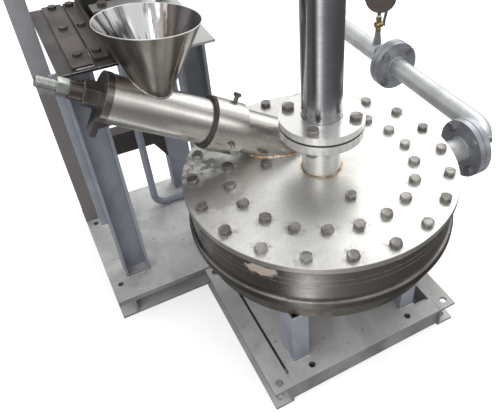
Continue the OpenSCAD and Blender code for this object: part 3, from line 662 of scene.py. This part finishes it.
LOOKS = {
    "cover": cover_look(),
    "ring": ring_look(),
    "injector": injector_look(),
    "tube": tube_look(),
    "weld": weld_look("weld_bead", 1.0, 55, (0.56, 0.55, 0.54), (0.36, 0.325, 0.295),
                      (0.18, 0.155, 0.15), (0.38, 0.5), (0.55, 0.66)),
    "tinted_weld": weld_look("weld_tinted", 0.85, 38, (0.78, 0.75, 0.70), (0.60, 0.36, 0.18),
                             (0.22, 0.14, 0.11), (0.40, 0.52), (0.56, 0.66)),
    "pale_weld": painted_weld_look(),
    "flange": flange_look(),
    "rim": plain_metal("rim_turned", (0.22, 0.205, 0.193), (0.14, 0.125, 0.115), (0.26, 0.38),
                       grain=(0.03, 0.03, 1), wear=(0.5, 0.46, 0.43), edge=0.0012),
    "drum": plain_metal("drum_scaled", (0.24, 0.225, 0.205), (0.12, 0.108, 0.092), (0.38, 0.55),
                        patch=14, spots=(0.12, 0.10, 0.08), metallic=0.9, wear=(0.55, 0.52, 0.48)),
    "hopper": hopper_look(),
    "base": base_look(),
    "leg": plain_metal("leg_blue_grey", (0.27, 0.29, 0.33), (0.19, 0.205, 0.235), (0.36, 0.5),
                       patch=7, metallic=0.25, spots=(0.24, 0.22, 0.20), spot_share=-0.05,
                       wear=(0.42, 0.44, 0.47), edge=0.0018, grain_share=0.12),
    "post": post_look(),
    "dark": plain_metal("mill_scale", (0.135, 0.115, 0.105), (0.075, 0.062, 0.056), (0.34, 0.52),
                        patch=10, metallic=0.7, spots=(0.24, 0.17, 0.12), spot_share=-0.03,
                        wear=(0.34, 0.30, 0.27)),
    "gland": plain_metal("gland_oiled", (0.22, 0.205, 0.195), (0.085, 0.075, 0.07), (0.16, 0.3),
                         patch=14, metallic=0.9, wear=(0.5, 0.48, 0.46), edge=0.0014),
    "table": table_look(),
    "black": plain_metal("black_paint", (0.05, 0.045, 0.042), (0.032, 0.028, 0.027), (0.3, 0.45),
                         metallic=0.2, wear=(0.18, 0.16, 0.15)),
    "zinc": plain_metal("zinc_plated", (0.46, 0.475, 0.455), (0.27, 0.28, 0.265), (0.24, 0.38),
                        patch=30, wear=(0.8, 0.8, 0.76)),
    "bolt": plain_metal("bolt_weathered", (0.31, 0.30, 0.285), (0.15, 0.14, 0.13), (0.28, 0.42),
                        patch=22, metallic=0.7, spots=(0.55, 0.54, 0.51),
                        wear=(0.58, 0.57, 0.54), edge=0.0007, patch_span=(0.4, 0.6)),
    "air_pipe": zinc_look(),
    "air_bolt": plain_metal("zinc_bolt_dark", (0.34, 0.35, 0.37), (0.22, 0.22, 0.23), (0.34, 0.5),
                            patch=30, metallic=0.8, wear=(0.55, 0.56, 0.58)),
    "brass": plain_metal("brass_cast", (0.62, 0.46, 0.20), (0.40, 0.28, 0.12), (0.25, 0.42), patch=40,
                         wear=(0.8, 0.66, 0.36)),
    "gauge": plain_metal("gauge_enamel", (0.13, 0.105, 0.095), (0.10, 0.08, 0.072), (0.3, 0.4),
                         metallic=0.2, patch=12, wear=(0.3, 0.26, 0.24)),
    "gasket": flat_look("fibre_gasket", (0.05, 0.045, 0.04), (0.03, 0.026, 0.024), (0.6, 0.8)),
    "dial": flat_look("dial_enamel", (0.88, 0.87, 0.83), (0.84, 0.83, 0.79), (0.4, 0.5)),
    "ink": flat_look("dial_ink", (0.02, 0.02, 0.02), (0.035, 0.03, 0.03), (0.4, 0.6)),
    "tape": flat_look("sealing_tape", (0.85, 0.85, 0.83), (0.7, 0.7, 0.68), (0.6, 0.8), 200),
    "pane": glass_look(),
}

NODE_LOOKS = {
    "cover": ["cover_plate"],
    "ring": ["body_ring"],
    "rim": ["bottom_flange"],
    "drum": ["base_drum", "grinding_ring", "bottom_liner", "top_liner", "outlet_collar"],
    "injector": ["injector_body", "feed_socket", "venturi_insert"],
    "tube": ["discharge_pipe"],
    "flange": ["outlet_stub"],
    "hopper": ["feed_hopper"],
    "base": ["base_side_channels", "base_cross_channels", "base_plate", "stand_channels",
             "stand_plate"],
    "leg": ["stand_legs", "leg_strip", "brace_rod", "mill_legs"],
    "post": ["stand_rear_post"],
    "gland": ["end_cap", "gland_nut"],
    "dark": ["cap_bracket", "feeder_bed", "feeder_bolts", "strap_post"],
    "table": ["stand_table"],
    "black": ["stand_beam", "stand_gussets", "feeder_casing"],
    "zinc": ["nozzle_stem", "lock_nut", "hopper_strap", "cock_lever", "jet_nozzles"],
    "air_bolt": ["air_bolts", "flange_nuts"],
    "bolt": ["cover_bolts_long", "cover_bolts_short", "outlet_bolts",
             "set_screw_a", "set_screw_b", "set_screw_c"],
    "air_pipe": ["air_pipe", "supply_pipe", "inlet_nozzle", "gauge_nipple"],
    "brass": ["cock_body"],
    "gauge": ["gauge_case"],
    "gasket": ["cover_gasket", "outlet_gasket", "air_gaskets", "seal_ring"],
    "dial": ["gauge_dial"],
    "ink": ["gauge_needle"],
    "pane": ["gauge_glass"],
}


def paint_nodes():
    """Gives every CAD node its look."""
    for look, names in NODE_LOOKS.items():
        for name in names:
            mesh = NODES[name].data
            mesh.materials.clear()
            mesh.materials.append(LOOKS[look])


# ---- fasteners ------------------------------------------------------------------

def bolts(name, node, flats, seed):
    """Detailed hexagon bolts in the places of a CAD node's solids."""
    head, shank_r = 11 * MM, 8 * MM
    work = bmesh.new()
    rand = random.Random(seed)
    for low, high in solids(node):
        foot = Vector((*(low + high).xy / 2, low.z))
        shank = high.z - low.z - head
        add_hex_head(work, foot + UP * shank, UP, flats, head, rand.uniform(0, math.pi / 3))
        add_turned(work, foot, UP, [(shank_r, 0), (shank_r, shank)], 24)
    piece = add_piece(name, work, LOOKS["bolt"], "mill", smooth=False)
    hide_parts(node)


def fasteners():
    """The three groups of upright bolts; each has its seed for how the heads are turned."""
    bolts("cover_bolts_outer", "cover_bolts_long", 24 * MM, 3)
    bolts("cover_bolts_inner", "cover_bolts_short", 24 * MM, 5)
    bolts("discharge_flange_bolts", "outlet_bolts", 26 * MM, 8)


def stem_thread():
    """The screw thread on the nozzle stem, outside its lock nut."""
    past_nut, length, pitch, root, crest = 11.6 * MM, 33 * MM, 2.5 * MM, 10.9 * MM, 12.1 * MM
    start = LOCK_NUT + INJECTOR_AXIS * past_nut
    ridge = 0.96 * pitch
    first, second = side_axes(INJECTOR_AXIS)
    work = bmesh.new()
    steps = 30
    lines = [[], [], []]
    for i in range(int(length / pitch * steps)):
        a = 2 * math.pi * i / steps
        way = first * math.cos(a) + second * math.sin(a)
        base = start + INJECTOR_AXIS * (pitch * i / steps)
        for line, radius, shift in zip(lines, (root, crest, root), (0, ridge / 2, ridge)):
            line.append(work.verts.new(base + way * radius + INJECTOR_AXIS * shift))
    for one, two in zip(lines, lines[1:]):
        for i in range(len(one) - 1):
            work.faces.new((one[i], one[i + 1], two[i + 1], two[i]))
    add_piece("nozzle_stem_thread", work, LOOKS["zinc"], "stem")


# ---- welds ----------------------------------------------------------------------

def weld(name, paths, radius, seed, look="weld", closed=True):
    """One piece with a bead along each path."""
    seed_step = 7.3
    work = bmesh.new()
    for k, path in enumerate(paths):
        add_bead(work, path, radius, closed, seed + k * seed_step)
    add_piece(name, work, LOOKS[look], "mill")


def pale_weld(name, paths, radius, seed, closed=True):
    weld(name, paths, radius, seed, "pale_weld", closed)


def injector_foot_path():
    """Where the injector's tube meets the cover's top face."""
    return [
        spot - INJECTOR_AXIS * ((spot.z - COVER_TOP) / INJECTOR_AXIS.z)
        for spot in circle(INJECTOR_FOOT, INJECTOR_AXIS, INJECTOR_R + 1 * MM, 96)
    ]


def injector_distance(point):
    """Distance of a point from the injector's axis."""
    along = (point - INJECTOR_FOOT).dot(INJECTOR_AXIS)
    return (point - INJECTOR_FOOT - INJECTOR_AXIS * along).length


def hopper_details():
    """The rolled rim, the lengthwise seam and the saddle weld of the hopper."""
    mid, rim_r, axis = rim_ring()
    # how much the cone's radius falls for each metre of depth under the rim
    taper = 0.482
    first, second = side_axes(axis)

    def on_cone(turn, depth, proud):
        way = first * math.cos(turn) + second * math.sin(turn)
        return mid - axis * depth + way * (rim_r - taper * depth + proud)

    def saddle_depth(turn):
        """Depth where the cone meets the injector's tube, by halving."""
        near, far = 50 * MM, 175 * MM
        for _ in range(26):
            depth = (near + far) / 2
            if injector_distance(on_cone(turn, depth, 0)) > INJECTOR_R:
                near = depth
            else:
                far = depth
        return near

    work = bmesh.new()
    rim = [on_cone(2 * math.pi * i / 120, 0.4 * MM, -0.9 * MM) for i in range(120)]
    add_bead(work, rim, 1.1 * MM, rough=0.0)
    add_piece("hopper_rim_edge", work, LOOKS["tube"], "mill")
    turns = [2 * math.pi * i / 96 for i in range(96)]
    saddle = [on_cone(turn, saddle_depth(turn), 0.8 * MM) for turn in turns]
    weld("hopper_saddle_weld", [saddle], 2.2 * MM, 4)
    seam_turn, seam_top, seam_length = math.radians(205), 2 * MM, 118 * MM
    seam = [on_cone(seam_turn, seam_top + seam_length * i / 40, 0.1 * MM) for i in range(41)]
    weld("hopper_seam_weld", [seam], 0.9 * MM, 9, closed=False)


def tube_welds():
    """Beads at the discharge tube's foot, flanges and seam, and at the injector's foot."""
    stub_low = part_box("outlet_stub")[0].z
    pipe_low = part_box("discharge_pipe")[0].z
    gasket_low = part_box("outlet_gasket")[0].z
    mid = Vector((*COVER_MID.xy, 0))
    foot = circle(mid + UP * (stub_low + 0.6 * MM), UP, TUBE_R + 1.2 * MM)
    under = circle(mid + UP * (gasket_low - STUB_FLANGE_THICK - 0.6 * MM), UP, TUBE_R + 0.3 * MM)
    over = circle(mid + UP * (pipe_low + PIPE_FLANGE_THICK + 0.4 * MM), UP, TUBE_R + 0.6 * MM)
    weld("stub_foot_weld", [foot], 1.8 * MM, 2)
    weld("stub_flange_weld", [under], 1.2 * MM, 6)
    weld("pipe_flange_weld", [over], 1.0 * MM, 12)
    girth_weld(mid + UP * (pipe_low + SEAM_RISE))
    weld("injector_foot_weld", [injector_foot_path()], 3.2 * MM, 3, "tinted_weld")


def girth_weld(mid):
    """The tube's seam: a ring of short beads that overlap unevenly."""
    beads, points = 26, 7
    work = bmesh.new()
    rand = random.Random(11)
    for i in range(beads):
        turn = 2 * math.pi * i / beads + rand.uniform(-0.05, 0.05)
        span = rand.uniform(0.06, 0.2)
        rise = rand.uniform(-1.5, 1.5) * MM
        path = []
        for k in range(points):
            a = turn + span * k / (points - 1)
            way = Vector((math.cos(a), math.sin(a), 0))
            path.append(mid + way * (TUBE_R + 0.1 * MM) + UP * (rise + 0.6 * MM * math.sin(k * 2)))
        add_bead(work, path, rand.uniform(0.8, 1.3) * MM, False, i, 0.4)
    add_piece("pipe_girth_weld", work, LOOKS["weld"], "mill")


def air_welds():
    """Fillets where the air pipe meets its flanges, the ring and the gauge nipple."""
    inlet_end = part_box("inlet_nozzle")[1].x
    pipe_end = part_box("air_pipe")[1].y
    supply_start, supply_end = [corner.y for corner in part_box("supply_pipe")]
    behind = AIR_FLANGE_THICK + 1 * MM
    across_gasket = AIR_FLANGE_THICK + 3 * MM
    reach = AIR_R + 1.2 * MM
    paths = []
    for x in (inlet_end - behind, inlet_end + across_gasket):
        paths.append(circle(Vector((x, INLET_Y, AIR_LINE.z)), Vector((1, 0, 0)), reach))
    for y in (pipe_end - behind, supply_start + behind, supply_end - behind):
        paths.append(circle(Vector((AIR_LINE.x, y, AIR_LINE.z)), Vector((0, 1, 0)), reach))
    pale_weld("air_flange_welds", paths, 2.0 * MM, 5)
    nipple, nipple_r = centre("gauge_nipple"), 14.5 * MM
    foot = []
    for i in range(48):
        a = 2 * math.pi * i / 48
        dx, dy = nipple_r * math.cos(a), nipple_r * math.sin(a)
        rise = math.sqrt(AIR_R ** 2 - dx ** 2)
        foot.append(Vector((nipple.x + dx, nipple.y + dy, AIR_LINE.z + rise)))
    pale_weld("nipple_weld", [foot], 2.2 * MM, 8)


def frame_welds():
    """Pale beads at the legs' ends, the mill base's corners, the feeder's bed and the brace."""
    legs = solids("mill_legs")
    pale_weld("mill_leg_foot_welds", [rectangle(*leg, leg[0].z + 1 * MM) for leg in legs], 1.8 * MM, 1)
    pale_weld("mill_leg_head_welds", [rectangle(*leg, leg[1].z - 1 * MM) for leg in legs], 1.8 * MM, 2)
    legs = solids("stand_legs") + solids("stand_rear_post")
    feet = [rectangle(*leg, leg[0].z + 1 * MM) for leg in legs]
    pale_weld("stand_leg_welds", feet, 1.6 * MM, 3)
    low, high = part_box("base_plate")
    flange_wide = 33 * MM
    corners = []
    for x in (low.x, high.x):
        for y, wide in ((low.y, flange_wide), (high.y, -flange_wide)):
            corners.append([Vector((x, y + wide * k / 8, high.z)) for k in range(9)])
    pale_weld("base_corner_welds", corners, 1.2 * MM, 4, closed=False)
    bed_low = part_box("feeder_bed")[0]
    corner = Vector((*bed_low.xy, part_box("stand_table")[1].z))
    path = [corner + Vector((x, y, 0)) * MM for x, y in ((46.5, 80), (43.5, 20), (42, -1), (6, -1))]
    pale_weld("feeder_bed_weld", [path], 1.6 * MM, 6, closed=False)
    rod_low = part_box("brace_rod")[0]
    start = Vector((rod_low.x + 50 * MM, centre("brace_rod").y - 10 * MM, rod_low.z + 1 * MM))
    tack = [start + Vector((5 * MM * k, 0, 0)) for k in range(7)]
    pale_weld("brace_tack_weld", [tack], 2.6 * MM, 7, closed=False)


# ---- gauge ------------------------------------------------------------------------

def in_metres(profile):
    """A profile in millimetres as one in metres."""
    return [(radius * MM, height * MM) for radius, height in profile]


def gauge_details():
    """The bezel, dial marks and back of the pressure gauge, and tape at the cock."""
    joint = JOINTS["gauge_needle_turn"]
    mid, axis = Vector(joint["pos_m"]), Vector(joint["axis"]).normalized()
    across = axis.cross(UP).normalized()
    bezel_rise, bezel_r, bezel_thick_r = 15 * MM, 48.5 * MM, 2.4 * MM
    work = bmesh.new()
    add_bead(work, circle(mid + axis * bezel_rise, axis, bezel_r, 120), bezel_thick_r, rough=0.0)
    add_piece("gauge_bezel", work, LOOKS["gauge"], "mill")
    dial_marks(mid, axis, across)
    gauge_back(mid, axis, across)
    nipple = centre("gauge_nipple")
    tape_foot = Vector((*nipple.xy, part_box("cock_body")[1].z - 1 * MM))
    work = bmesh.new()
    add_turned(work, tape_foot, UP, in_metres([(7.2, 0), (7.6, 2), (7.3, 6)]), 32)
    add_piece("gauge_thread_tape", work, LOOKS["tape"], "mill")


def dial_marks(mid, axis, across):
    """Fifty divisions over three quarters of the dial, each tenth mark long and wide."""
    divisions, outer, lift, thick = 50, 39, 0.2 * MM, 0.3 * MM
    work = bmesh.new()
    for i in range(divisions + 1):
        turn = math.radians(-135 + 270 * i / divisions)
        way = UP * math.cos(turn) - across * math.sin(turn)
        side = axis.cross(way)
        inner, wide = (30, 0.7) if i % 10 == 0 else (34, 0.3)
        outline = in_metres([(inner, -wide), (outer, -wide), (outer, wide), (inner, wide)])
        corners = [mid + axis * lift + way * out + side * shift for out, shift in outline]
        add_rings(work, [corners, [corner + axis * thick for corner in corners]])
    add_piece("gauge_dial_marks", work, LOOKS["ink"], "mill", smooth=False)


def gauge_back(mid, axis, across):
    """Three screws and the round plug on the back of the gauge's case."""
    back, screw_circle_r = mid - axis * 15.5 * MM, 36 * MM
    work = bmesh.new()
    for k in range(3):
        turn = math.radians(90 + 120 * k)
        spot = back + (UP * math.sin(turn) + across * math.cos(turn)) * screw_circle_r
        add_turned(work, spot, -axis, in_metres([(3.2, 0), (3.2, 1.6), (2.4, 2.4)]), 24)
    add_turned(work, back, -axis, in_metres([(30, 0), (29, 1.6), (10, 2.2)]), 64)
    add_piece("gauge_back_plug", work, LOOKS["gauge"], "mill", smooth=False)


# ---- stage, light and camera --------------------------------------------------------

def stage():
    """A pale floor that glows, except under the two bases."""
    bpy.ops.mesh.primitive_plane_add(size=14, location=(0, 0, -0.5 * MM))
    floor = bpy.context.object
    floor.name = "floor"
    look = Look("floor_pale", 0.0)
    look.shader.inputs["Specular IOR Level"].default_value = 0.0
    look.shader.inputs["Emission Color"].default_value = (1, 1, 1, 1)
    x, y, _ = look.parts()
    soft = 20 * MM
    open_floor = 1.0
    for node in ("base_side_channels", "stand_channels"):
        low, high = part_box(node)
        under = look.math("MINIMUM", look.within(x, low.x, high.x, soft), look.within(y, low.y, high.y, soft))
        open_floor = look.minus(open_floor, under)
    look.put(look.shader.inputs["Emission Strength"], look.times(open_floor, 0.48))
    floor.data.materials.append(look.finish((0.72, 0.72, 0.72, 1), 0.9))
    floor.visible_glossy = False


def area_light(name, place, target, size, power):
    """A square lamp that faces a point."""
    data = bpy.data.lights.new(name, "AREA")
    data.size = size
    data.energy = power
    lamp = bpy.data.objects.new(name, data)
    lamp.location = place
    lamp.rotation_euler = (Vector(target) - Vector(place)).to_track_quat("-Z", "Y").to_euler()
    bpy.context.scene.collection.objects.link(lamp)
    return lamp


# brightness of the studio by heading in degrees from +X, under and over the horizon
WALLS_BELOW = [(-180, 0.18), (-164, 0.08), (-152, 0.14), (-142, 1.0), (-133, 1.9), (-124, 1.0),
               (-112, 0.40), (-90, 0.24), (-40, 0.14), (20, 0.12), (60, 0.30), (100, 0.50),
               (125, 0.24), (180, 0.18)]
WALLS_ABOVE = [(-180, 0.8), (-142, 0.9), (-130, 2.0), (-120, 2.0), (-108, 0.9), (-60, 0.8), (-10, 0.9),
               (30, 1.4), (46, 1.4), (56, 1.3), (66, 1.2), (80, 1.15), (110, 0.5), (180, 0.6)]
# windows: heading, height, outer and inner half angle, strength
WINDOWS = [(-50, 20, 12, 4, 1.6), (32, 38, 26, 8, 1.6), (0, 75, 40, 15, 0.8), (150, 25, 20, 8, 0.9)]


def walls(graph, turn, stops):
    """Brightness by heading, where turn goes from 0 to 1 once round."""
    made = graph.node("ShaderNodeValToRGB", {0: turn})
    bar = made.color_ramp
    while len(bar.elements) > 1:
        bar.elements.remove(bar.elements[-1])
    for k, (heading, level) in enumerate(stops):
        place = heading / 360 + 0.5
        stop = bar.elements.new(place) if k else bar.elements[0]
        stop.position = place
        stop.color = (level, level, level, 1)
    return made.outputs[0]


def world():
    """Soft white light, and a studio with windows and dark walls for reflections."""
    sky = bpy.data.worlds.new("studio")
    bpy.context.scene.world = sky
    sky.use_nodes = True
    sky.node_tree.nodes.clear()
    graph = Graph(sky.node_tree, "Generated")
    x, y, z = graph.parts()
    turn = graph.add(graph.math("DIVIDE", graph.math("ARCTAN2", y, x), 2 * math.pi), 0.5)
    rise = graph.span(z, -0.12, 0.30)
    level = graph.blend(rise, walls(graph, turn, WALLS_BELOW), walls(graph, turn, WALLS_ABOVE))
    for heading, height, outer, inner, power in WINDOWS:
        a, e = math.radians(heading), math.radians(height)
        way = (math.cos(a) * math.cos(e), math.sin(a) * math.cos(e), math.sin(e))
        edge, core = math.cos(math.radians(outer)), math.cos(math.radians(inner))
        level = graph.add(level, graph.span(graph.dot(graph.place, way), edge, core, 0.0, power))
    studio = graph.node("ShaderNodeBackground", {"Color": level, "Strength": 1.0}).outputs[0]
    white = graph.node("ShaderNodeBackground", {"Color": (1, 1, 1, 1), "Strength": 1.0}).outputs[0]
    glossy = graph.node("ShaderNodeLightPath").outputs["Is Glossy Ray"]
    choice = graph.node("ShaderNodeMixShader", {0: glossy, 1: white, 2: studio}).outputs[0]
    graph.node("ShaderNodeOutputWorld", {0: choice})


def camera():
    """The photograph's view, solved from the bolt circles and the upright edges."""
    data = bpy.data.cameras.new("camera")
    data.sensor_width = 36
    data.lens = 40.80
    data.shift_x = -0.1398
    data.shift_y = -0.0193
    data.clip_end = 50
    eye = bpy.data.objects.new("camera", data)
    eye.location = (-0.4989, -0.8212, 1.2314)
    eye.rotation_euler = [math.radians(a) for a in (48.376, -0.121, -30.089)]
    bpy.context.scene.collection.objects.link(eye)
    bpy.context.scene.camera = eye


def main():
    bpy.context.scene.view_settings.view_transform = "Standard"
    camera()
    stage()
    world()
    lit = (0, 0.1, 0.4)
    key = area_light("key", (1.6, 1.5, 2.6), lit, 2.2, 60)
    key.visible_glossy = False
    area_light("fill", (-1.8, -1.6, 2.2), lit, 1.6, 16)
    paint_nodes()
    fasteners()
    stem_thread()
    hopper_details()
    tube_welds()
    air_welds()
    frame_welds()
    gauge_details()


main()
